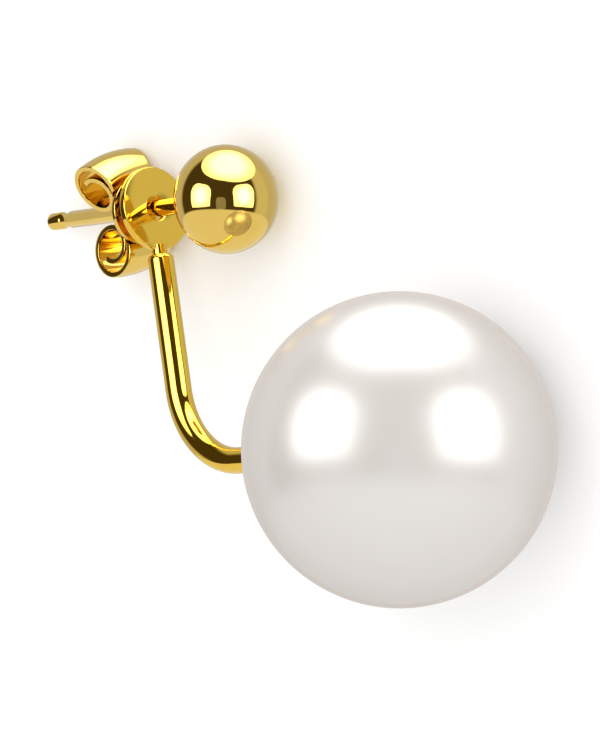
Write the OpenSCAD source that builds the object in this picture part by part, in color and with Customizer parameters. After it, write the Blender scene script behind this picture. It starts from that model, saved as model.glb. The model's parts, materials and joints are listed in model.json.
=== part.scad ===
// Ear jacket earring: a gold ball stud, a jacket with a round pearl that hangs on its post, and a
// butterfly clutch behind. It lies on its side on the plane Z = 0, +Z up, and touches it with the
// pearl, the ball and the disc. +X runs along the post towards the ball. The origin is the middle
// of the ground that it covers. All sizes are in millimetres.

/* [Pearl] */
// Diameter of the round pearl
pearl_d = 12; // [10:0.5:14]

/* [Ball stud] */
// Diameter of the ball across the post
ball_d = 4.2; // [3.6:0.1:4.6]
// Thickness of the ball along the post
ball_t = 3.8; // [3.4:0.1:4.4]
// Diameter of the post
post_d = 0.66; // [0.6:0.02:0.8]
// From the middle of the jacket's disc forward to the middle of the ball
lobe_reach = 4.2; // [3.8:0.1:5]
// From the middle of the jacket's disc back to the tip of the post
tail_reach = 6; // [5:0.1:8]

/* [Jacket] */
// Diameter of the disc that sits on the post
disc_d = 3.25; // [3:0.05:3.6]
// Thickness of the disc
disc_t = 0.3; // [0.2:0.05:0.4]
// Diameter of the disc's hole, which is loose on the post
disc_hole_d = 0.96; // [0.92:0.02:1.1]
// Diameter of the round wire
wire_d = 1.02; // [0.9:0.02:1.2]
// Diameter of the solder neck between the disc and the wire
neck_d = 0.6; // [0.5:0.02:0.62]
// From the middle of the disc down to the top of the wire
wire_top = 1.8; // [1.75:0.05:2.2]
// From the middle of the disc down to the start of the bend
bend_drop = 7.1; // [6:0.1:9]
// Radius of the bend, to the middle of the wire
bend_r = 3.35; // [2.5:0.05:4]
// Angle that the bend turns the wire forward
bend_angle = 81.5; // [75:0.5:90]
// From the end of the bend to the middle of the pearl
pearl_reach = 9.2; // [8:0.1:11]
// Forward tip of the post against the disc, which hangs loose on it
disc_tilt = 6.8; // [0:0.2:8]

/* [Clutch] */
// Thickness of the sheet
sheet_t = 0.2; // [0.15:0.01:0.25]
// Outer radius of a scroll
scroll_r = 1.02; // [0.96:0.02:1.1]
// Outer radius of the turn inside a scroll
inner_r = 0.76; // [0.66:0.02:0.8]
// Width of a wing across the middle of its scroll
wing_w = 2.1; // [1.8:0.05:2.3]
// Radius of the bow of a wing, to the middle of its scroll
bow_r = 4; // [3.5:0.1:6]
// Radius of the hub, between the wings
hub_r = 1.3; // [1.26:0.02:1.4]
// From the post to where a wing spreads from the hub
wing_from = 1.2; // [1.1:0.02:1.24]
// From the middle of the jacket's disc back to the clutch
clutch_back = 0.8; // [0.7:0.05:1.2]

/* [Hidden] */
$fn = 96;
gold = [0.83, 0.66, 0.27];
nacre = [0.95, 0.93, 0.91];

// Running gap between the post and what slides on it, and the glue gap in the pearl
post_gap = 0.03;
glue_gap = 0.03;
// Chamfers of the post's tip, of the wire's top and of the disc's rims
tip_chamfer = 0.12;
wire_chamfer = 0.2;
rim_chamfer = 0.05;
// How far the neck reaches into the wire and into the disc
neck_lap = 0.2;
// The bent stretch of wire is a hair fuller, and each straight stretch reaches a little way into it
bend_swell = 0.005;
bend_lap = 0.1;
// Round-bottomed groove near the tip of the post: its middle from the tip, its width and its depth
groove_back = 0.95;
groove_w = 0.54;
groove_depth = 0.06;
groove_r = (groove_w * groove_w / 4 + groove_depth * groove_depth) / (2 * groove_depth);
// Depth of the pearl's drilled hole and of the wire in it
drill_depth = 6.2;
peg_depth = 6;

ball_r = ball_d / 2;
post_r = post_d / 2;
pearl_r = pearl_d / 2;
wire_r = wire_d / 2;

// Clutch: distance of a scroll's middle from the post
scroll_mid = post_r + post_gap + scroll_r;
// The middle of a wing's bow, beyond the post, and half of the angle that the wing spans round it
bow_offset = bow_r - scroll_mid;
wing_half = asin(wing_w / 2 / bow_r);

// Pearl's middle from the disc's middle, in the jacket's own frame and then along and off the post
pearl_forward = bend_r * (1 - cos(bend_angle)) + pearl_reach * sin(bend_angle);
pearl_down = bend_drop + bend_r * sin(bend_angle) + pearl_reach * cos(bend_angle);
pearl_along = pearl_forward * cos(disc_tilt) + pearl_down * sin(disc_tilt);
pearl_off = pearl_down * cos(disc_tilt) - pearl_forward * sin(disc_tilt);

// Height of the disc's middle with its rim on the ground, and slope of the post with the ball there too
rest_height = disc_d / 2;
rest_slope = asin((ball_r - rest_height) / lobe_reach);
// Turn of the jacket about the post, from straight up, that lets the pearl touch the ground
pearl_lift = pearl_r - rest_height - pearl_along * sin(rest_slope);
rest_swing = acos(pearl_lift / (pearl_off * cos(rest_slope)));

// Ground that the earring covers, from the disc's middle
reach_front = pearl_along * cos(rest_slope) - pearl_off * cos(rest_swing) * sin(rest_slope) + pearl_r;
reach_back = tail_reach * cos(rest_slope) + (post_r - tip_chamfer) * abs(sin(rest_slope));
reach_pearl_side = pearl_off * sin(rest_swing) + pearl_r;
reach_stud_side = scroll_mid + scroll_r;

// Puts what is drawn with the disc's middle at the origin and the post along +X on the ground
module laid() {
    translate([(reach_back - reach_front) / 2, (reach_pearl_side - reach_stud_side) / 2, rest_height])
        rotate([0, -rest_slope, 0])
            children();
}

// Turns a solid of revolution about Z so that its axis runs along +X
module along_post() {
    rotate([0, 90, 0]) children();
}

// Ring sector in the plane of a profile, from one angle to another, under half a turn
module band(middle, outer_r, from, to) {
    reach = 3 * outer_r;
    span = to - from;
    translate(middle)
        intersection() {
            difference() {
                circle(r = outer_r);
                circle(r = outer_r - sheet_t);
            }
            polygon([
                [0, 0],
                reach * [cos(from), sin(from)],
                reach * [cos(from + span / 3), sin(from + span / 3)],
                reach * [cos(from + 2 * span / 3), sin(from + 2 * span / 3)],
                reach * [cos(to), sin(to)],
            ]);
        }
}

module post() {
    along_post()
        difference() {
            union() {
                translate([0, 0, -tail_reach + tip_chamfer])
                    cylinder(r = post_r, h = tail_reach + lobe_reach - tip_chamfer);
                translate([0, 0, -tail_reach])
                    cylinder(r1 = post_r - tip_chamfer, r2 = post_r, h = tip_chamfer);
            }
            translate([0, 0, -tail_reach + groove_back])
                rotate_extrude()
                    translate([post_r - groove_depth + groove_r, 0])
                        circle(r = groove_r);
        }
}

module ball_stud() {
    color(gold)
        laid()
            union() {
                post();
                translate([lobe_reach, 0, 0])
                    scale([ball_t / ball_d, 1, 1])
                        sphere(r = ball_r);
            }
}

// Disc with small chamfers at both rims and the loose hole for the post
module disc() {
    along_post()
        rotate_extrude()
            polygon([
                [disc_hole_d / 2, -disc_t / 2],
                [disc_d / 2 - rim_chamfer, -disc_t / 2],
                [disc_d / 2, -disc_t / 2 + rim_chamfer],
                [disc_d / 2, disc_t / 2 - rim_chamfer],
                [disc_d / 2 - rim_chamfer, disc_t / 2],
                [disc_hole_d / 2, disc_t / 2],
            ]);
}

// Puts the pearl's middle at the origin, with +Z back along the wire that enters it
module in_pearl() {
    translate([pearl_forward, 0, -pearl_down])
        rotate([0, -bend_angle, 0])
            children();
}

// Wire from its chamfered top down, round the bend and forward into the pearl
module wire() {
    translate([0, 0, -bend_drop - bend_lap])
        cylinder(r = wire_r, h = bend_drop + bend_lap - wire_top - wire_chamfer);
    translate([0, 0, -wire_top - wire_chamfer])
        cylinder(r1 = wire_r, r2 = wire_r - wire_chamfer, h = wire_chamfer);
    translate([bend_r, 0, -bend_drop])
        rotate([-90, 0, 0])
            rotate([0, 0, 180 - bend_angle])
                rotate_extrude(angle = bend_angle)
                    translate([bend_r, 0])
                        circle(r = wire_r + bend_swell);
    in_pearl()
        translate([0, 0, pearl_r - peg_depth])
            cylinder(r = wire_r, h = pearl_reach + bend_lap - pearl_r + peg_depth);
}

module jacket_frame() {
    color(gold)
        laid()
            rotate([180 + rest_swing, 0, 0])
                rotate([0, -disc_tilt, 0])
                    union() {
                        disc();
                        translate([0, 0, -wire_top - neck_lap])
                            cylinder(d = neck_d, h = wire_top - disc_d / 2 + 2 * neck_lap);
                        wire();
                    }
}

module pearl() {
    color(nacre)
        laid()
            rotate([180 + rest_swing, 0, 0])
                rotate([0, -disc_tilt, 0])
                    in_pearl()
                        difference() {
                            sphere(r = pearl_r);
                            translate([0, 0, pearl_r - drill_depth])
                                cylinder(r = wire_r + glue_gap, h = 2 * drill_depth);
                        }
}

// One wing of the clutch's rolled sheet: flat in front, round the scroll and on inside it
module wing_profile() {
    translate([wing_from, -sheet_t])
        square([scroll_mid - wing_from, sheet_t]);
    band([scroll_mid, -scroll_r], scroll_r, -45, 90);
    band([scroll_mid, -scroll_r], scroll_r, -180, -45);
    band([scroll_mid - scroll_r + inner_r, -scroll_r], inner_r, 60, 180);
    band([scroll_mid - scroll_r + inner_r, -scroll_r], inner_r, -40, 60);
}

// Bowed wing, spun round a middle beyond the post, so that it flares away from the hub
module wing() {
    translate([-bow_offset, 0, 0])
        rotate([0, 0, -wing_half])
            rotate_extrude(angle = 2 * wing_half)
                translate([bow_offset, 0])
                    wing_profile();
}

// The clutch lies with its wings level
module butterfly_clutch() {
    color(gold)
        laid()
            rotate([90, 0, 0])
                translate([-clutch_back, 0, 0])
                    along_post()
                        union() {
                            translate([0, 0, -sheet_t])
                                difference() {
                                    cylinder(r = hub_r, h = sheet_t);
                                    translate([0, 0, -sheet_t])
                                        cylinder(r = post_r + post_gap, h = 3 * sheet_t);
                                }
                            for (side = [0, 180])
                                rotate([0, 0, side])
                                    wing();
                        }
}

ball_stud();
jacket_frame();
pearl();
butterfly_clutch();
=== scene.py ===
"""Ear jacket earring: gold ball stud, pearl jacket and butterfly clutch, on a pale floor."""
import json
import math

import bmesh
import bpy
from mathutils import Matrix, Vector


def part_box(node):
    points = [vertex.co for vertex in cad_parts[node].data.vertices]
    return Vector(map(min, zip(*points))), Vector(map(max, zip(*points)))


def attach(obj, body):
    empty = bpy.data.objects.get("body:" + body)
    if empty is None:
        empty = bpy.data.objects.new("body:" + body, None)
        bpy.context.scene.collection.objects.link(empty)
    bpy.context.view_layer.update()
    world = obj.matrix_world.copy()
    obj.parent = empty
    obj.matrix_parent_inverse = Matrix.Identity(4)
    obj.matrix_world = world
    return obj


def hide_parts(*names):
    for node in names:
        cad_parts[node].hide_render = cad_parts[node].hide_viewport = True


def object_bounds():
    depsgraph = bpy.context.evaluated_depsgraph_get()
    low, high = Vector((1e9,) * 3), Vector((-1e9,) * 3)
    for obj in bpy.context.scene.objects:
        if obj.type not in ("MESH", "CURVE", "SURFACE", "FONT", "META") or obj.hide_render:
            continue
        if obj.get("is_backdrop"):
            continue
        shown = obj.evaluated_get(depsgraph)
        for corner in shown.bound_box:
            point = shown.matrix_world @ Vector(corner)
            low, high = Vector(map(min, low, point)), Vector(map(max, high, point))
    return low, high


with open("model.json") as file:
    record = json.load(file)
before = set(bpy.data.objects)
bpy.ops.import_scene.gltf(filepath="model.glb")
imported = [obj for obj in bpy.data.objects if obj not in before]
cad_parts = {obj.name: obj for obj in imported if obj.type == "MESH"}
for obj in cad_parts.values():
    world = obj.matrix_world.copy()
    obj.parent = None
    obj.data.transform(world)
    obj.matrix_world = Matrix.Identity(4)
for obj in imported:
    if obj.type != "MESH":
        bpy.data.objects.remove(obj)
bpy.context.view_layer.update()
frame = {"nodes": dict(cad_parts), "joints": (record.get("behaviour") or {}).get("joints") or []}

bl_info = {
    "name": "Ear Jacket Earring",
    "version": (1, 0, 0),
    "blender": (4, 5, 0),
    "location": "3D View > Sidebar > Earring",
    "description": "Models a gold ear jacket earring with a pearl, and lights it in a small studio",
    "category": "Object",
}

MM = 0.001

# The middle of the jacket's disc, and the way along the post towards the ball
SWIVEL = next(joint for joint in frame["joints"] if joint["name"] == "jacket_swivel")
DISC_MIDDLE = Vector(SWIVEL["pos_m"])
ALONG_POST = Vector(SWIVEL["axis"]).normalized()

# The pearl's drilled hole is at its back, so its middle is taken from the front of its box
PEARL_LOW, PEARL_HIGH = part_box("pearl")
PEARL_RADIUS = (PEARL_HIGH.z - PEARL_LOW.z) / 2
PEARL_MIDDLE = Vector((
    PEARL_HIGH.x - PEARL_RADIUS,
    PEARL_LOW.y + PEARL_RADIUS,
    PEARL_LOW.z + PEARL_RADIUS,
))


# Sizes and colours


def size(name, description, default, unit="LENGTH"):
    """A float property in metres, or in radians for an angle."""
    subtype = "ANGLE" if unit == "ROTATION" else "DISTANCE"
    return bpy.props.FloatProperty(
        name=name, description=description, default=default,
        subtype=subtype, unit=unit, precision=5,
    )


def angle(name, description, degrees):
    """An angle property, with its default in degrees."""
    return size(name, description, math.radians(degrees), "ROTATION")


def tint(name, description, default):
    """A linear colour property."""
    return bpy.props.FloatVectorProperty(
        name=name, description=description, default=default,
        subtype="COLOR", size=3, min=0, max=1,
    )


class StudSizes(bpy.types.PropertyGroup):
    """Sizes of the ball stud"""

    ball_d: size("Ball", "Diameter of the ball across the post", 4.2 * MM)
    ball_t: size("Ball thickness", "Thickness of the ball along the post", 3.8 * MM)
    post_d: size("Post", "Diameter of the post", 0.66 * MM)
    lobe_reach: size("Lobe reach", "From the disc's middle forward to the ball's middle", 4.2 * MM)
    tail_reach: size("Tail", "From the disc's middle back to the post's tip", 6.0 * MM)
    solder_r: size("Solder", "Radius of the solder fillet where the post enters the ball", 0.1 * MM)
    groove_back: size("Groove place", "From the post's tip to the middle of its groove", 0.95 * MM)
    groove_w: size("Groove width", "Width of the groove", 0.54 * MM)
    groove_depth: size("Groove depth", "Depth of the groove", 0.06 * MM)
    tip_chamfer: size("Tip", "Rounding of the post's tip", 0.12 * MM)


class JacketSizes(bpy.types.PropertyGroup):
    """Sizes of the jacket's disc and wire"""

    disc_d: size("Disc", "Diameter of the disc", 3.25 * MM)
    disc_t: size("Disc thickness", "Thickness of the disc", 0.3 * MM)
    hole_d: size("Hole", "Diameter of the disc's hole", 0.96 * MM)
    rim_r: size("Rim", "Rounding of the disc's rims", 0.05 * MM)
    wire_d: size("Wire", "Diameter of the wire", 1.02 * MM)
    neck_d: size("Neck", "Diameter of the solder neck", 0.6 * MM)
    wire_top: size("Wire top", "From the disc's middle down to the top of the wire", 1.8 * MM)
    wire_chamfer: size("Wire end", "Rounding of the wire's top", 0.2 * MM)
    bend_drop: size("Bend drop", "From the disc's middle down to the start of the bend", 7.1 * MM)
    bend_r: size("Bend", "Radius of the bend, to the middle of the wire", 3.35 * MM)
    bend_angle: angle("Bend angle", "Angle that the bend turns the wire forward", 81.5)
    pearl_reach: size("Pearl reach", "From the end of the bend to the pearl's middle", 9.2 * MM)
    disc_tilt: angle("Disc tilt", "Tilt of the disc on the post", 6.8)


class PearlSizes(bpy.types.PropertyGroup):
    """Sizes of the pearl's drilled hole and of its unevenness"""

    hole_d: size("Hole", "Diameter of the drilled hole", 1.08 * MM)
    hole_depth: size("Hole depth", "Depth of the drilled hole", 6.2 * MM)
    unevenness: size("Unevenness", "How far the nacre departs from a true sphere", 0.02 * MM)
    swell: size("Swell", "Breadth of the slow swells in the nacre", 5 * MM)


class ClutchSizes(bpy.types.PropertyGroup):
    """Sizes of the clutch"""

    sheet_t: size("Sheet", "Thickness of the sheet", 0.2 * MM)
    edge_r: size("Edge", "Rounding of the sheet's edges", 0.03 * MM)
    scroll_r: size("Scroll", "Outer radius of a scroll", 1.02 * MM)
    inner_r: size("Inner turn", "Outer radius of the turn inside a scroll", 0.76 * MM)
    wing_w: size("Wing", "Width of a wing across the middle of its scroll", 2.1 * MM)
    bow_r: size("Bow", "Radius of the bow of a wing, to the middle of its scroll", 4 * MM)
    hub_r: size("Hub", "Radius of the hub, between the wings", 1.3 * MM)
    wing_from: size("Wing start", "From the post to where a wing spreads from the hub", 1.2 * MM)
    post_gap: size("Gap", "Gap between the clutch and the post", 0.03 * MM)
    back: size("Place", "From the disc's middle back to the clutch", 0.8 * MM)
    turn: angle("Turn", "Turn of the clutch on the post, from upright", 90)


class Finish(bpy.types.PropertyGroup):
    """Colours of the metal, the nacre and the floor"""

    gold: tint("Gold", "Colour of the polished gold of the ball and the clutch", (0.87, 0.60, 0.14))
    jacket_gold: tint("Jacket gold", "Colour of the richer gold of the jacket", (0.88, 0.585, 0.08))
    nacre: tint("Nacre", "Body colour of the pearl", (0.58, 0.55, 0.515))
    floor: tint("Floor", "Colour of the floor", (0.95, 0.95, 0.95))


GROUPS = {
    "stud_sizes": StudSizes,
    "jacket_sizes": JacketSizes,
    "pearl_sizes": PearlSizes,
    "clutch_sizes": ClutchSizes,
    "earring_finish": Finish,
}


# Places of the pieces


def at_disc(top):
    """Puts a piece at the disc's middle, with its +X along the post and its +Z at the given top."""
    turn = Matrix((ALONG_POST, top.cross(ALONG_POST), top)).transposed().to_4x4()
    return Matrix.Translation(DISC_MIDDLE) @ turn


def hanging_frame():
    """Lays down a piece that is drawn as worn, with the pearl below the post."""
    from_pearl = DISC_MIDDLE - PEARL_MIDDLE
    return at_disc((from_pearl - from_pearl.dot(ALONG_POST) * ALONG_POST).normalized())


def lying_frame():
    """Lays down a piece that is drawn as it lies, with +Z away from the floor."""
    side = Vector((0, 0, 1)).cross(ALONG_POST).normalized()
    return at_disc(ALONG_POST.cross(side))


def jacket_frame(sizes):
    """Lays down a piece of the jacket, which is tilted on the post."""
    return hanging_frame() @ Matrix.Rotation(-sizes.disc_tilt, 4, "Y")


def along_x():
    """Lays what is drawn round +Z along +X."""
    return Matrix.Rotation(math.pi / 2, 4, "Y")


# Modelling steps

# Ways on an arc, in degrees from the outward way: up is along +Z
OUT, UP, IN, DOWN = 0, 90, 180, -90

# Verts nearer than this are one
MERGE_REACH = 0.001 * MM

# Edges that turn less than this are shaded smooth
SMOOTH_METAL, SMOOTH_NACRE = math.radians(35), math.radians(60)


def clear_selection():
    """Leaves edit mode and deselects every object."""
    if bpy.context.object and bpy.context.object.mode != "OBJECT":
        bpy.ops.object.mode_set(mode="OBJECT")
    bpy.ops.object.select_all(action="DESELECT")


def start_piece(name):
    """Takes the primitive that was just added, names it and goes into edit mode."""
    piece = bpy.context.object
    piece.name = name
    piece.data.name = name
    bpy.ops.object.mode_set(mode="EDIT")
    return piece


def choose(piece, kind, wanted):
    """Selects the verts or edges of a piece in edit mode that pass a test."""
    bpy.ops.mesh.select_mode(type={"verts": "VERT", "edges": "EDGE"}[kind])
    bpy.ops.mesh.select_all(action="DESELECT")
    mesh = bmesh.from_edit_mesh(piece.data)
    for part in getattr(mesh, kind):
        if wanted(part):
            part.select_set(True)
    bmesh.update_edit_mesh(piece.data)


def cut_opening(piece, wanted):
    """Deletes the verts that pass a test, and gives the height and radius of the chosen rim."""
    choose(piece, "verts", wanted)
    bpy.ops.mesh.delete(type="VERT")
    choose(piece, "edges", lambda e: e.is_boundary)
    rim = next(v for v in bmesh.from_edit_mesh(piece.data).verts if v.select)
    return rim.co.z, rim.co.xy.length


def arc(middle, radius, start, end, steps):
    """Points of an arc as (height, distance outward) pairs, its middle given in the same way."""
    points = []
    for i in range(steps + 1):
        a = math.radians(start + (end - start) * i / steps)
        points.append((middle[0] + radius * math.sin(a), middle[1] + radius * math.cos(a)))
    return points


def draw_rings(height, radius, rings):
    """Extrudes the chosen ring from one (height, radius) to the next, round +Z."""
    for next_height, next_radius in rings:
        move = {"value": (0, 0, next_height - height)}
        bpy.ops.mesh.extrude_region_move(TRANSFORM_OT_translate=move)
        grow = next_radius / radius
        bpy.ops.transform.resize(value=(grow, grow, 1), center_override=(0, 0, next_height))
        height, radius = next_height, next_radius


def close_ring():
    """Closes the chosen ring with a fan to its middle."""
    bpy.ops.mesh.extrude_region_move()
    bpy.ops.mesh.merge(type="CENTER")


def end_piece(piece):
    """Merges doubles, turns the faces outwards and leaves edit mode."""
    bpy.ops.mesh.select_mode(type="VERT")
    bpy.ops.mesh.select_all(action="SELECT")
    bpy.ops.mesh.remove_doubles(threshold=MERGE_REACH)
    bpy.ops.mesh.normals_make_consistent(inside=False)
    bpy.ops.object.mode_set(mode="OBJECT")
    return piece


def apply_modifier(piece, kind, **settings):
    """Gives a piece a modifier and applies it."""
    modifier = piece.modifiers.new(kind.title(), kind)
    for key, value in settings.items():
        setattr(modifier, key, value)
    bpy.context.view_layer.objects.active = piece
    bpy.ops.object.modifier_apply(modifier=modifier.name)


def unite(piece, other):
    """Joins another solid to a piece as one skin."""
    apply_modifier(piece, "BOOLEAN", operation="UNION", solver="EXACT", object=other)
    bpy.data.objects.remove(other)


def place(piece, where):
    """Puts a piece where it belongs, with its place in its mesh."""
    clear_selection()
    piece.matrix_world = where
    piece.select_set(True)
    bpy.context.view_layer.objects.active = piece
    bpy.ops.object.transform_apply(location=True, rotation=True, scale=True)


def finish_piece(piece, where, material, body, node, smooth=SMOOTH_METAL):
    """Places and dresses a piece, and hands it to its body in place of the plain node."""
    place(piece, where)
    bpy.ops.object.shade_smooth_by_angle(angle=smooth)
    piece.data.materials.clear()
    piece.data.materials.append(material)
    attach(piece, body)
    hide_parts(node)


# Nodes


def feed(tree, node, values):
    """Sets the named sockets of a node to plain values, or links them to other sockets."""
    for name, value in values.items():
        if isinstance(value, bpy.types.NodeSocket):
            tree.links.new(value, node.inputs[name])
        else:
            node.inputs[name].default_value = value


def add_node(tree, kind, values=(), **settings):
    """Adds a shader node with its settings, and feeds its sockets."""
    node = tree.nodes.new("ShaderNode" + kind)
    for key, value in settings.items():
        setattr(node, key, value)
    feed(tree, node, dict(values))
    return node


def calculate(tree, operation, *values):
    """The result of a sum on numbers or sockets."""
    return add_node(tree, "Math", enumerate(values), operation=operation).outputs[0]


def ranged(tree, value, start, end, low=0, high=1, curve="LINEAR"):
    """Turns what runs from start to end into what runs from low to high."""
    limits = {"Value": value, "From Min": start, "From Max": end, "To Min": low, "To Max": high}
    return add_node(tree, "MapRange", limits, interpolation_type=curve).outputs["Result"]


def soft_step(tree, value, start, end):
    """Goes softly from 0 at the start to 1 at the end, whichever of the two is the higher."""
    return ranged(tree, value, start, end, curve="SMOOTHSTEP")


def mixed(tree, factor, below, above, kind="FLOAT"):
    """Lays one number or colour over another, as far as the factor says."""
    values = {"Factor": factor, "A": below, "B": above}
    return add_node(tree, "Mix", values, data_type=kind).outputs["Result"]


# Materials

# Waves and scratches of the handling: how fine and how detailed each is, how far the scratches
# are drawn out along each axis and turned, and the share of their noise that shows
WAVE_FINENESS, WAVE_DETAIL = 700, 2
SCRATCH_FINENESS, SCRATCH_DETAIL = 2600, 3
SCRATCH_STRETCH = (1, 14, 5)
SCRATCH_TURN = (0.4, 0.7, 0.3)
SCRATCH_SHARE = (0.6, 0.72)

# Polished gold: how far its shade wanders, what a scratch adds to its roughness, and the strength
# and depth of its ripple
GOLD_SHADES = (0.94, 1.04)
SCRATCH_ROUGHNESS = 0.12
GOLD_RIPPLE = (0.05, 0.05 * MM)

# Body of the nacre: how much light it lets in, how far each colour of it goes, and how deep
NACRE_GLOW = 0.25
NACRE_GLOW_REACH = (1.0, 0.8, 0.7)
NACRE_GLOW_DEPTH = 0.6 * MM
# Its lustre, and where it fades towards the rim
NACRE_IOR = 2.3
LUSTRE = 0.78
LUSTRE_FADE = (0.45, 0.78)
# The rose overtone at its rim, as a share of each body colour, and how far it spreads inwards
OVERTONE = (0.93, 0.88, 0.86)
OVERTONE_SPREAD = 0.35
# Its roughness, which stays above 0.274, where the denoiser leaves lines, the scale of its waves,
# and the strength and depth of its ripple
NACRE_ROUGHNESS = (0.285, 0.32)
NACRE_WAVES = 0.35
NACRE_RIPPLE = (0.06, 0.1 * MM)

FLOOR_ROUGHNESS = 0.5


def new_material(name):
    """A new material, with its node tree and its shader."""
    material = bpy.data.materials.new(name)
    material.use_nodes = True
    tree = material.node_tree
    return material, tree, tree.nodes["Principled BSDF"]


def handling_group():
    """Fine wear of a handled jewel: slow waves, and a mask of short hairline scratches."""
    name = "Handling"
    if name in bpy.data.node_groups:
        return bpy.data.node_groups[name]
    group = bpy.data.node_groups.new(name, "ShaderNodeTree")
    for socket, default in (("Scale", 1.0), ("Scratches", 0.5)):
        made = group.interface.new_socket(socket, in_out="INPUT", socket_type="NodeSocketFloat")
        made.default_value = default
    for socket in ("Waves", "Scratch Mask"):
        group.interface.new_socket(socket, in_out="OUTPUT", socket_type="NodeSocketFloat")
    given = group.nodes.new("NodeGroupInput")
    result = group.nodes.new("NodeGroupOutput")

    spot = add_node(group, "TexCoord").outputs["Object"]
    scaled = {0: spot, "Scale": given.outputs["Scale"]}
    spot = add_node(group, "VectorMath", scaled, operation="SCALE").outputs[0]
    slow = {"Vector": spot, "Scale": WAVE_FINENESS, "Detail": WAVE_DETAIL}
    waves = add_node(group, "TexNoise", slow)

    drawn_out = {"Vector": spot, "Scale": SCRATCH_STRETCH, "Rotation": SCRATCH_TURN}
    spot = add_node(group, "Mapping", drawn_out).outputs[0]
    fine = {"Vector": spot, "Scale": SCRATCH_FINENESS, "Detail": SCRATCH_DETAIL}
    lines = add_node(group, "TexNoise", fine)
    thin = ranged(group, lines.outputs["Fac"], *SCRATCH_SHARE)
    scratches = calculate(group, "MULTIPLY", thin, given.outputs["Scratches"])
    feed(group, result, {"Waves": waves.outputs["Fac"], "Scratch Mask": scratches})
    return group


def use_handling(tree, scale, scratches):
    """Places the handling in a material."""
    worn = add_node(tree, "Group", node_tree=handling_group())
    feed(tree, worn, {"Scale": scale, "Scratches": scratches})
    return worn


def rippled(tree, worn, strength, depth):
    """A normal with the waves of the handling in it."""
    values = {"Height": worn.outputs["Waves"], "Strength": strength, "Distance": depth}
    return add_node(tree, "Bump", values).outputs["Normal"]


def polished_gold(name, colour, roughness, scratches=0.35):
    """Yellow gold with a mirror polish, a little uneven, with hairline scratches."""
    material, tree, shader = new_material(name)
    worn = use_handling(tree, 1.0, scratches)
    shade = ranged(tree, worn.outputs["Waves"], 0, 1, *GOLD_SHADES)
    shaded = add_node(tree, "VectorMath", {0: colour, "Scale": shade}, operation="SCALE")
    rough = (roughness, roughness + SCRATCH_ROUGHNESS)
    feed(tree, shader, {
        "Metallic": 1.0,
        "Base Color": shaded.outputs[0],
        "Roughness": ranged(tree, worn.outputs["Scratch Mask"], 0, 1, *rough),
        "Normal": rippled(tree, worn, *GOLD_RIPPLE),
    })
    return material


def nacre(name, colour):
    """White nacre: a soft body that glows a little, under a lustre with a faint rose overtone."""
    material, tree, shader = new_material(name)
    worn = use_handling(tree, NACRE_WAVES, 0)
    to_rim = add_node(tree, "LayerWeight").outputs["Facing"]
    to_rose = add_node(tree, "LayerWeight", {"Blend": OVERTONE_SPREAD}).outputs["Facing"]
    rose = [part * share for part, share in zip(colour, OVERTONE)]
    feed(tree, shader, {
        "Base Color": mixed(tree, to_rose, (*colour, 1), (*rose, 1), "RGBA"),
        "Subsurface Weight": NACRE_GLOW,
        "Subsurface Radius": NACRE_GLOW_REACH,
        "Subsurface Scale": NACRE_GLOW_DEPTH,
        "IOR": NACRE_IOR,
        "Specular IOR Level": ranged(tree, to_rim, *LUSTRE_FADE, LUSTRE, 0),
        "Roughness": ranged(tree, worn.outputs["Waves"], 0, 1, *NACRE_ROUGHNESS),
        "Normal": rippled(tree, worn, *NACRE_RIPPLE),
    })
    return material


def plain_floor(name, colour):
    """A pale, even, matt floor."""
    material, tree, shader = new_material(name)
    feed(tree, shader, {"Base Color": (*colour, 1), "Roughness": FLOOR_ROUGHNESS})
    return material


# Pieces

# Sides round each piece, and steps along its curves
BALL_SIDES, BALL_RINGS = 128, 64
PEARL_SIDES, PEARL_RINGS = 160, 96
DISC_SIDES, WIRE_SIDES, HUB_SIDES = 128, 64, 96
FILLET_STEPS, GROOVE_STEPS, TIP_STEPS = 6, 12, 8
RIM_STEPS, WIRE_TOP_STEPS, BEND_STEPS = 4, 6, 48
SCROLL_STEPS, INNER_STEPS, BOW_STEPS = 30, 24, 20
WING_EDGE_STEPS, HUB_EDGE_STEPS = 2, 3

# How far the solder neck reaches into the disc
NECK_LAP = 0.2 * MM
# Where the turn inside a scroll ends
INNER_END = -40
# How far the hub's front is set back from the front of the wings, so that they join cleanly
HUB_SET_BACK = 0.01 * MM
# Edges of the wings that turn more than this are rounded
WING_EDGE_TURN = math.radians(50)


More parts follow.
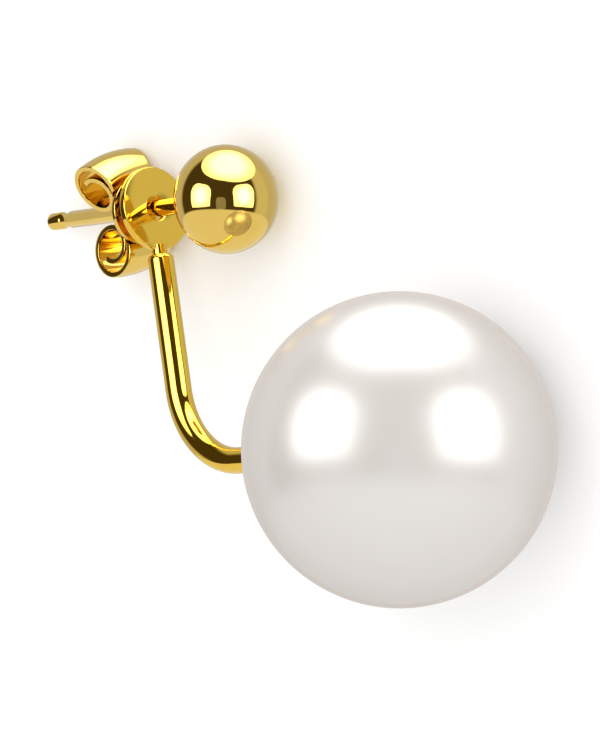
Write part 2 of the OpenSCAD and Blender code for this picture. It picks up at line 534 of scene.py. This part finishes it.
class EARRING_OT_ball_stud(bpy.types.Operator):
    """Model the gold ball with its post, groove and rounded tip"""

    bl_idname = "earring.ball_stud"
    bl_label = "Ball Stud"

    def execute(self, context):
        sizes = context.scene.stud_sizes
        post_r = sizes.post_d / 2
        flatten = sizes.ball_t / sizes.ball_d
        clear_selection()
        bpy.ops.mesh.primitive_uv_sphere_add(
            segments=BALL_SIDES, ring_count=BALL_RINGS, radius=sizes.ball_d / 2,
        )
        piece = start_piece("polished_ball_stud")
        bpy.ops.mesh.select_all(action="SELECT")
        bpy.ops.transform.resize(value=(1, 1, flatten), center_override=(0, 0, 0))
        solder = post_r + sizes.solder_r
        height, radius = cut_opening(piece, lambda v: v.co.z < 0 and v.co.xy.length < solder)
        fillet = radius - post_r
        rings = arc((height - fillet, post_r + fillet), fillet, UP, IN, FILLET_STEPS)[1:]
        tip = -sizes.lobe_reach - sizes.tail_reach
        rings += self.groove(sizes, post_r, tip + sizes.groove_back)
        round_r = sizes.tip_chamfer
        rings += arc((tip + round_r, post_r - round_r), round_r, OUT, DOWN, TIP_STEPS)
        draw_rings(height, radius, rings)
        close_ring()
        end_piece(piece)
        where = hanging_frame() @ Matrix.Translation((sizes.lobe_reach, 0, 0)) @ along_x()
        gold = polished_gold("ball gold", context.scene.earring_finish.gold, roughness=0.05)
        finish_piece(piece, where, gold, "stud", "ball_stud")
        return {"FINISHED"}

    def groove(self, sizes, post_r, height):
        """Rings of the round-bottomed groove, with its middle at a height."""
        half_w, depth = sizes.groove_w / 2, sizes.groove_depth
        groove_r = (half_w ** 2 + depth ** 2) / (2 * depth)
        half_turn = math.degrees(math.asin(half_w / groove_r))
        middle = (height, post_r - depth + groove_r)
        return arc(middle, groove_r, IN - half_turn, IN + half_turn, GROOVE_STEPS)


class EARRING_OT_jacket_frame(bpy.types.Operator):
    """Model the disc and the wire soldered to it, bent forward under the lobe"""

    bl_idname = "earring.jacket_frame"
    bl_label = "Jacket Frame"

    def execute(self, context):
        sizes = context.scene.jacket_sizes
        piece = self.wire(sizes)
        unite(piece, self.disc(sizes))
        colour = context.scene.earring_finish.jacket_gold
        gold = polished_gold("jacket gold", colour, roughness=0.06)
        finish_piece(piece, jacket_frame(sizes), gold, "jacket", "jacket_frame")
        return {"FINISHED"}

    def disc(self, sizes):
        """The disc, drawn from its hole outwards and back, so that the last ring meets the first."""
        hole_r, rim = sizes.hole_d / 2, sizes.rim_r
        near, far = hole_r + rim, sizes.disc_d / 2 - rim
        top, bottom = sizes.disc_t / 2 - rim, -sizes.disc_t / 2 + rim
        clear_selection()
        bpy.ops.mesh.primitive_circle_add(vertices=DISC_SIDES, radius=hole_r)
        piece = start_piece("disc")
        choose(piece, "edges", lambda e: True)
        rings = arc((top, near), rim, IN, UP, RIM_STEPS)
        rings += arc((top, far), rim, UP, OUT, RIM_STEPS)
        rings += arc((bottom, far), rim, OUT, DOWN, RIM_STEPS)
        rings += arc((bottom, near), rim, DOWN, -IN, RIM_STEPS)
        draw_rings(0, hole_r, rings + [(0, hole_r)])
        end_piece(piece)
        place(piece, along_x())
        return piece

    def wire(self, sizes):
        """The solder neck and the wire, from the disc down, round the bend and into the pearl."""
        wire_r, neck_r, round_r = sizes.wire_d / 2, sizes.neck_d / 2, sizes.wire_chamfer
        neck_top = -sizes.disc_d / 2 + NECK_LAP
        clear_selection()
        bpy.ops.mesh.primitive_circle_add(vertices=WIRE_SIDES, radius=neck_r, fill_type="TRIFAN")
        piece = start_piece("polished_jacket_frame")
        bpy.ops.mesh.select_all(action="SELECT")
        bpy.ops.transform.translate(value=(0, 0, neck_top))
        choose(piece, "edges", lambda e: e.is_boundary)
        rings = [(-sizes.wire_top, neck_r)]
        corner = (-sizes.wire_top - round_r, wire_r - round_r)
        rings += arc(corner, round_r, UP, OUT, WIRE_TOP_STEPS)
        draw_rings(neck_top, neck_r, rings + [(-sizes.bend_drop, wire_r)])
        turn = sizes.bend_angle
        middle = (sizes.bend_r, 0, -sizes.bend_drop)
        bpy.ops.mesh.spin(steps=BEND_STEPS, angle=turn, center=middle, axis=(0, 1, 0))
        forward = Vector((math.sin(turn), 0, -math.cos(turn))) * sizes.pearl_reach
        bpy.ops.mesh.extrude_region_move(TRANSFORM_OT_translate={"value": forward})
        close_ring()
        return end_piece(piece)


class EARRING_OT_pearl(bpy.types.Operator):
    """Model the half-drilled round pearl"""

    bl_idname = "earring.pearl"
    bl_label = "Pearl"

    def execute(self, context):
        sizes = context.scene.pearl_sizes
        jacket = context.scene.jacket_sizes
        hole_r = sizes.hole_d / 2
        pearl_r = PEARL_RADIUS - sizes.unevenness / 2
        clear_selection()
        bpy.ops.mesh.primitive_uv_sphere_add(
            segments=PEARL_SIDES, ring_count=PEARL_RINGS, radius=pearl_r,
        )
        piece = start_piece("nacre_pearl")
        height, radius = cut_opening(piece, lambda v: v.co.z > 0 and v.co.xy.length < hole_r)
        edge = radius - hole_r
        rings = arc((height - edge, hole_r + edge), edge, UP, IN, RIM_STEPS)[1:]
        draw_rings(height, radius, rings + [(pearl_r - sizes.hole_depth, hole_r)])
        close_ring()
        end_piece(piece)
        self.swell(piece, sizes)
        turn = jacket_frame(jacket).to_3x3().to_4x4()
        from_wire = Matrix.Rotation(-jacket.bend_angle, 4, "Y")
        where = Matrix.Translation(PEARL_MIDDLE) @ turn @ from_wire
        lustrous = nacre("nacre", context.scene.earring_finish.nacre)
        finish_piece(
            piece, where, lustrous, "jacket", "pearl", smooth=SMOOTH_NACRE,
        )
        return {"FINISHED"}

    def swell(self, piece, sizes):
        """Makes the sphere a hair uneven, as nacre grows."""
        uneven = bpy.data.textures.new("uneven nacre", "CLOUDS")
        uneven.noise_scale = sizes.swell
        apply_modifier(
            piece, "DISPLACE",
            texture=uneven, texture_coords="LOCAL", strength=sizes.unevenness, mid_level=0.5,
        )


class EARRING_OT_butterfly_clutch(bpy.types.Operator):
    """Model the clutch: a flat hub and two wings of sheet, rolled back into scrolls"""

    bl_idname = "earring.butterfly_clutch"
    bl_label = "Butterfly Clutch"

    def execute(self, context):
        sizes = context.scene.clutch_sizes
        hole_r = context.scene.stud_sizes.post_d / 2 + sizes.post_gap
        piece = self.wing("polished_clutch", sizes, hole_r + sizes.scroll_r, 0)
        unite(piece, self.wing("second wing", sizes, hole_r + sizes.scroll_r, math.pi))
        unite(piece, self.hub(sizes, hole_r))
        turned = lying_frame() @ Matrix.Rotation(sizes.turn, 4, "X")
        where = turned @ Matrix.Translation((-sizes.back, 0, 0)) @ along_x()
        colour = context.scene.earring_finish.gold
        gold = polished_gold("clutch gold", colour, roughness=0.09, scratches=0.5)
        finish_piece(piece, where, gold, "clutch", "butterfly_clutch")
        return {"FINISHED"}

    def wing(self, name, sizes, scroll_mid, turn):
        """One wing: its middle line, spun round a middle beyond the post and given thickness."""
        half_t = sizes.sheet_t / 2
        inner_mid = scroll_mid - sizes.scroll_r + sizes.inner_r
        scroll, inner = sizes.scroll_r - half_t, sizes.inner_r - half_t
        line = [(-half_t, sizes.wing_from)]
        line += arc((-sizes.scroll_r, scroll_mid), scroll, UP, -IN, SCROLL_STEPS)
        line += arc((-sizes.scroll_r, inner_mid), inner, IN, INNER_END, INNER_STEPS)[1:]
        clear_selection()
        bpy.ops.mesh.primitive_plane_add(size=sizes.sheet_t)
        piece = start_piece(name)
        bpy.ops.mesh.select_all(action="SELECT")
        bpy.ops.mesh.merge(type="CENTER")
        points = [Vector((across, 0, height)) for height, across in line]
        bpy.ops.transform.translate(value=points[0])
        for here, there in zip(points, points[1:]):
            bpy.ops.mesh.extrude_vertices_move(TRANSFORM_OT_translate={"value": there - here})
        bow_middle = Vector((scroll_mid - sizes.bow_r, 0, 0))
        half_span = math.asin(sizes.wing_w / 2 / sizes.bow_r)
        bpy.ops.mesh.select_all(action="SELECT")
        bpy.ops.mesh.spin(
            steps=BOW_STEPS, angle=2 * half_span, center=bow_middle, axis=(0, 0, -1),
        )
        end_piece(piece)
        apply_modifier(
            piece, "SOLIDIFY", thickness=sizes.sheet_t, offset=0, use_even_offset=True,
        )
        apply_modifier(
            piece, "BEVEL",
            width=sizes.edge_r, segments=WING_EDGE_STEPS,
            limit_method="ANGLE", angle_limit=WING_EDGE_TURN,
        )
        to_bow = Matrix.Translation(bow_middle)
        centred = to_bow @ Matrix.Rotation(-half_span, 4, "Z") @ to_bow.inverted()
        place(piece, Matrix.Rotation(turn, 4, "Z") @ centred)
        return piece

    def hub(self, sizes, hole_r):
        """The flat ring round the post, drawn in the same way as the disc."""
        front, back = -HUB_SET_BACK, -HUB_SET_BACK - sizes.sheet_t
        edge, far = sizes.edge_r, sizes.hub_r - sizes.edge_r
        clear_selection()
        bpy.ops.mesh.primitive_circle_add(vertices=HUB_SIDES, radius=hole_r)
        piece = start_piece("hub")
        choose(piece, "edges", lambda e: True)
        bpy.ops.transform.translate(value=(0, 0, front))
        rings = arc((front - edge, far), edge, UP, OUT, HUB_EDGE_STEPS)
        rings += arc((back + edge, far), edge, OUT, DOWN, HUB_EDGE_STEPS)
        draw_rings(front, hole_r, rings + [(back, hole_r), (front, hole_r)])
        return end_piece(piece)


# Stage

# The way to the camera and the camera's right, in the frame of the jacket as worn
VIEW_BACK = Vector((0.7333, -0.6649, -0.1418))
VIEW_RIGHT = Vector((0.6513, 0.7469, -0.1344))
VIEW_DISTANCE = 577 * MM
# Height of what the picture shows at the earring, and the sensor's long side, which lies along it
FRAME_HEIGHT = 28.5 * MM
SENSOR = 36 * MM
CLIP_START, CLIP_END = 10 * MM, 10
FLOOR_SIZE = 6

# Soft lights: name, way from the earring (right, up, towards the camera) and power in watts
LIGHTS = (
    ("key light", (-0.15, 0.35, 0.93), 0.6),
    ("fill light", (0.80, 0.10, 0.55), 0.3),
)
LIGHT_SIZE = 350 * MM
LIGHT_DISTANCE = 400 * MM

# Softboxes, in millimetres: name, place from the earring (right, up, towards the camera), width
# and height, brightness in the middle and at the edge, radius of the corners, and whether the
# lower corners are round too
SOFTBOXES = (
    ("left softbox", (-38, 12.5, 30), (48, 40), (6.0, 2.6), 16, False),
    ("right softbox", (50, 15, 42), (56, 50), (6.0, 2.6), 18, False),
    ("overhead softbox", (4, 31, 3), (50, 45), (5.5, 2.0), 22, True),
)
SOFTBOX_CORNER_STEPS = 10
# Share of the way from a softbox's middle to its edge that is fully bright
SOFTBOX_CORE = 1 / 3
# A softbox whose way is nearer to straight down than this lines up with the camera
OVERHEAD = 0.9

# Brightness of the studio round the earring, as the polished gold mirrors it
ROOM = 0.07
ROOM_TINT = (1.0, 0.75, 0.35)
RIGHT_WALL = 0.72
BACKDROP = 0.62
TABLE = 0.88
FRONT_CARD = 0.32
# Brightness of the even light on the pearl and the floor
DAYLIGHT = 1.06

# Where each part of the studio begins and is whole: the wall by the turn to the right from the
# camera, the backdrop by the share of the way towards the camera, the table by the share upwards
RIGHT_WALL_EDGE = (math.radians(72), math.radians(82))
BACKDROP_EDGE = (-0.22, -0.42)
TABLE_EDGE = (-0.31, -0.36)
# The card by both, as its middle and half sizes, how square its corners are and how soft its edge
CARD_MIDDLE = (0, -0.14)
CARD_HALF = (math.radians(11), 0.22)
CARD_SQUARENESS = 3.5
CARD_EDGE = 0.3


def share_along(tree, way, axis):
    """How much of a way lies along an axis."""
    values = {0: way, 1: axis}
    return add_node(tree, "VectorMath", values, operation="DOT_PRODUCT").outputs["Value"]


def card_mask(tree, turn, rise):
    """Is 1 on the round-cornered card in front of the earring, and 0 round it."""
    total = 0
    for value, middle, half in zip((turn, rise), CARD_MIDDLE, CARD_HALF):
        off = calculate(tree, "DIVIDE", calculate(tree, "SUBTRACT", value, middle), half)
        power = calculate(tree, "POWER", calculate(tree, "ABSOLUTE", off), CARD_SQUARENESS)
        total = calculate(tree, "ADD", total, power)
    return soft_step(tree, total, 1 + CARD_EDGE, 1 - CARD_EDGE)


def light_path(tree):
    """A Light Path node, and a mask of the rays that no matt surface has scattered."""
    path = add_node(tree, "LightPath")
    return path, calculate(tree, "LESS_THAN", path.outputs["Diffuse Depth"], 1)


def studio_world(name, view):
    """Even daylight, and for mirror reflections a dark room with a wall, a card and a table."""
    world = bpy.data.worlds.new(name)
    world.use_nodes = True
    world.cycles.sampling_method = "NONE"
    tree = world.node_tree
    way = add_node(tree, "TexCoord").outputs["Generated"]
    side, rise, front = (share_along(tree, way, axis) for axis in view.col)
    turn = calculate(tree, "ARCTAN2", side, front)

    light = ROOM
    for mask, brightness in (
        (soft_step(tree, turn, *RIGHT_WALL_EDGE), RIGHT_WALL),
        (soft_step(tree, front, *BACKDROP_EDGE), BACKDROP),
        (card_mask(tree, turn, rise), FRONT_CARD),
        (soft_step(tree, rise, *TABLE_EDGE), TABLE),
    ):
        light = mixed(tree, mask, light, brightness)

    path, direct = light_path(tree)
    mirrored = calculate(tree, "MULTIPLY", path.outputs["Is Glossy Ray"], direct)
    dark = soft_step(tree, light, FRONT_CARD, ROOM)
    warm = calculate(tree, "MULTIPLY", mirrored, dark)
    feed(tree, tree.nodes["Background"], {
        "Color": mixed(tree, warm, (1, 1, 1, 1), (*ROOM_TINT, 1), "RGBA"),
        "Strength": mixed(tree, mirrored, DAYLIGHT, light),
    })
    return world


def softbox_cloth(name, brightness, reach):
    """Glowing cloth, brightest in its middle and dimmer at its edge."""
    material, tree, shader = new_material(name)
    tree.nodes.remove(shader)
    spot = add_node(tree, "TexCoord").outputs["Object"]
    off = add_node(tree, "VectorMath", {0: spot}, operation="LENGTH").outputs["Value"]
    core = reach * SOFTBOX_CORE
    fade = ranged(tree, off, core, reach, *brightness, curve="SMOOTHSTEP")
    direct = light_path(tree)[1]
    glow = add_node(tree, "Emission", {"Strength": calculate(tree, "MULTIPLY", fade, direct)})
    feed(tree, tree.nodes["Material Output"], {"Surface": glow.outputs[0]})
    return material


class EARRING_OT_stage(bpy.types.Operator):
    """Set up the floor, the softboxes, the soft lights and the camera"""

    bl_idname = "earring.stage"
    bl_label = "Stage"

    def execute(self, context):
        turn = jacket_frame(context.scene.jacket_sizes).to_3x3()
        back = (turn @ VIEW_BACK).normalized()
        right = turn @ VIEW_RIGHT
        right = (right - right.dot(back) * back).normalized()
        view = Matrix((right, back.cross(right), back)).transposed()
        low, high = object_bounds()
        target = (low + high) / 2
        self.camera(context, target, view)
        self.floor(context)
        self.softboxes(target, view)
        self.lights(context, target, view)
        return {"FINISHED"}

    def camera(self, context, target, view):
        """Looks at the middle of the earring's outline."""
        to_view = view.transposed()
        points = [v.co for node in frame["nodes"].values() for v in node.data.vertices]
        across, rise, _ = zip(*(to_view @ (point - target) for point in points))
        middle = [(min(places) + max(places)) / 2 for places in (across, rise)]
        spot = target + view @ Vector((*middle, VIEW_DISTANCE))
        bpy.ops.object.camera_add()
        camera = context.object
        camera.name = "camera"
        camera.matrix_world = Matrix.Translation(spot) @ view.to_4x4()
        camera.data.sensor_width = SENSOR / MM
        camera.data.lens = SENSOR / MM * VIEW_DISTANCE / FRAME_HEIGHT
        camera.data.clip_start = CLIP_START
        camera.data.clip_end = CLIP_END
        context.scene.camera = camera

    def floor(self, context):
        """A wide pale floor, which the polished metal doesn't mirror."""
        clear_selection()
        bpy.ops.mesh.primitive_plane_add(size=FLOOR_SIZE)
        floor = context.object
        floor.name = "floor"
        floor.visible_glossy = False
        floor.data.materials.append(plain_floor("floor", context.scene.earring_finish.floor))
        floor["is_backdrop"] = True

    def softboxes(self, target, view):
        """Rounded softboxes near the earring, which only its shiny surfaces see."""
        right, up, back = view.col
        for name, way, (width, height), brightness, corner, all_round in SOFTBOXES:
            spot = target + view @ Vector(way) * MM
            facing = (target - spot).normalized()
            upright = back if abs(facing.dot(up)) > OVERHEAD else up
            across = upright.cross(facing).normalized()
            turn = Matrix((across, facing.cross(across), facing)).transposed().to_4x4()
            clear_selection()
            bpy.ops.mesh.primitive_plane_add(size=MM)
            panel = start_piece(name)
            bpy.ops.mesh.select_all(action="SELECT")
            bpy.ops.transform.resize(value=(width, height, 1), center_override=(0, 0, 0))
            choose(panel, "verts", lambda v: all_round or v.co.y > 0)
            bpy.ops.mesh.bevel(
                offset=corner * MM, segments=SOFTBOX_CORNER_STEPS, affect="VERTICES",
            )
            bpy.ops.object.mode_set(mode="OBJECT")
            panel.matrix_world = Matrix.Translation(spot) @ turn
            reach = min(width, height) * MM / 2
            panel.data.materials.append(softbox_cloth(name, brightness, reach))
            panel.visible_camera = False
            panel.visible_diffuse = False
            panel.visible_shadow = False
            panel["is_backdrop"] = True

    def lights(self, context, target, view):
        """Large soft lights for the shadow and the modelling, and the studio round them."""
        for name, way, power in LIGHTS:
            towards = (view @ Vector(way)).normalized()
            spot = target + towards * LIGHT_DISTANCE
            bpy.ops.object.light_add(type="AREA", location=spot)
            light = context.object
            light.name = name
            light.rotation_euler = towards.to_track_quat("Z", "Y").to_euler()
            light.data.shape = "DISK"
            light.data.size = LIGHT_SIZE
            light.data.energy = power
            light.visible_camera = False
            light.visible_glossy = False
        context.scene.world = studio_world("studio", view)
        context.scene.view_settings.view_transform = "Standard"


class EARRING_PT_panel(bpy.types.Panel):
    """Lists the earring's pieces and its stage"""

    bl_label = "Ear Jacket Earring"
    bl_idname = "EARRING_PT_panel"
    bl_space_type = "VIEW_3D"
    bl_region_type = "UI"
    bl_category = "Earring"

    def draw(self, context):
        for group, sizes in GROUPS.items():
            box = self.layout.box()
            for name in sizes.__annotations__:
                box.prop(getattr(context.scene, group), name)
        for operator in OPERATORS:
            self.layout.operator(operator.bl_idname)


OPERATORS = (
    EARRING_OT_ball_stud,
    EARRING_OT_jacket_frame,
    EARRING_OT_pearl,
    EARRING_OT_butterfly_clutch,
    EARRING_OT_stage,
)
CLASSES = (*GROUPS.values(), *OPERATORS, EARRING_PT_panel)


def register():
    """Makes the classes known to Blender, and gives the scene its sizes and colours."""
    for cls in CLASSES:
        bpy.utils.register_class(cls)
    for name, group in GROUPS.items():
        setattr(bpy.types.Scene, name, bpy.props.PointerProperty(type=group))


def unregister():
    """Takes back what register has done."""
    for name in GROUPS:
        delattr(bpy.types.Scene, name)
    for cls in reversed(CLASSES):
        bpy.utils.unregister_class(cls)


def main():
    """Builds the earring and its stage."""
    register()
    bpy.ops.earring.ball_stud()
    bpy.ops.earring.jacket_frame()
    bpy.ops.earring.pearl()
    bpy.ops.earring.butterfly_clutch()
    bpy.ops.earring.stage()


if __name__ == "__main__":
    main()
